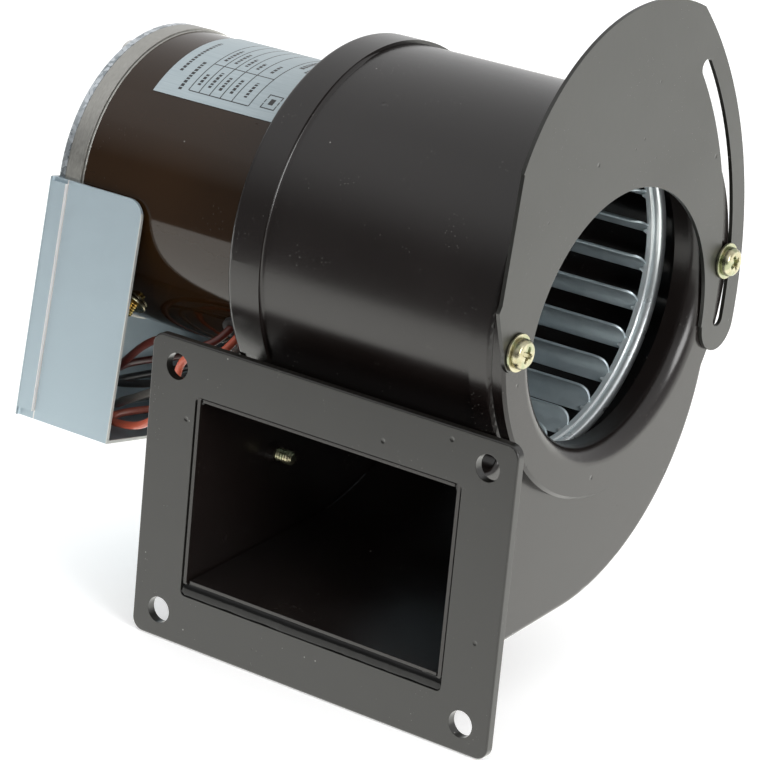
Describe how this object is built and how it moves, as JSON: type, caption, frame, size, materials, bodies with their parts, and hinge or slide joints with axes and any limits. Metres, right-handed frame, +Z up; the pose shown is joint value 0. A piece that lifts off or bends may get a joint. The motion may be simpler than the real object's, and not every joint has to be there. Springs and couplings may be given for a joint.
{
  "type": "combustion fan",
  "caption": "Combustion air blower: motor with side wiring cover, squirrel-cage wheel in a scroll housing, rectangular outlet flange and a slotted swing shutter over the round inlet.",
  "frame": {"origin": "centre of the outlet flange's front face, where the fan bolts on", "axes": "+X along the shaft from the motor towards the inlet, -Y out of the outlet, square to the flange face, +Z up"},
  "size_m": [0.1746, 0.119, 0.1872],
  "materials": {
    "housing_enamel": "gloss black enamel over pressed steel sheet",
    "flange_enamel": "semi-gloss black enamel, sheared edges",
    "weld_enamel": "black enamel over weld bead",
    "shutter_enamel": "semi-gloss black enamel plate",
    "yellow_zinc": null,
    "bright_zinc": "bright zinc-plated steel",
    "motor_enamel": "high-gloss dark brown-black enamel",
    "cast_shield": "machined end shield, brushed",
    "galvanised": "galvanised sheet with spangle",
    "lamination": "stacked electrical steel",
    "winding": null,
    "copper": null,
    "bronze": "oil-soaked sintered bronze",
    "rubber_black": "moulded rubber",
    "rotor_aluminium": "die-cast squirrel cage ring",
    "shaft_steel": "ground steel",
    "wheel_galvanised": "galvanised strip",
    "label_foil": null,
    "pvc_red": "salmon-red lead insulation",
    "pvc_brown": "dark red-brown lead insulation",
    "pvc_grey": "grey lead insulation",
    "pvc_black": "black lead insulation"
  },
  "bodies": {
    "housing": {"outlet_flange": "flange_enamel", "flange_welds": "weld_enamel", "scroll_wrap": "housing_enamel", "motor_side_plate": "housing_enamel", "inlet_side_plate": "housing_enamel", "shutter_pivot_screw": "yellow_zinc", "shutter_clamp_screw": "yellow_zinc", "shutter_washers": "yellow_zinc", "duct_screw": "yellow_zinc", "motor_shell": "motor_enamel", "front_end_shield": "cast_shield", "rear_end_shield": "cast_shield", "rear_end_plate": "galvanised", "front_bearing": "bronze", "rear_bearing": "bronze", "bearing_retainers": "bright_zinc", "stator_core": "lamination", "stator_windings": "winding", "shading_rings": "copper", "through_bolts": "bright_zinc", "through_bolt_nuts": "bright_zinc", "lead_grommet": "rubber_black", "ground_screw": "yellow_zinc", "ground_washer": "yellow_zinc", "motor_label": "label_foil", "wiring_cover": "galvanised", "lead_red": "pvc_red", "lead_brown": "pvc_brown", "lead_grey": "pvc_grey", "lead_black": "pvc_black", "lead_terminals": "bright_zinc"},
    "rotor": {"rotor_shaft": "shaft_steel", "rotor_core": "lamination", "rotor_end_rings": "rotor_aluminium", "thrust_washers": "bright_zinc", "wheel_hub": "shaft_steel", "wheel_set_screw": "bright_zinc", "wheel_back_plate": "wheel_galvanised", "wheel_blades": "wheel_galvanised", "wheel_front_ring": "wheel_galvanised"},
    "shutter": {"inlet_shutter": "shutter_enamel"}
  },
  "joints": [
    {"name": "rotor_spin", "type": "hinge", "parent": "housing", "child": "rotor", "pos_m": [-0.05, 0.0612, 0.0648], "axis": [1, 0, 0], "continuous": true},
    {"name": "shutter_swing", "type": "hinge", "parent": "housing", "child": "shutter", "pos_m": [0.0466, 0.01201, 0.06153], "axis": [1, 0, 0], "range_deg": [-35, 9]}
  ]
}
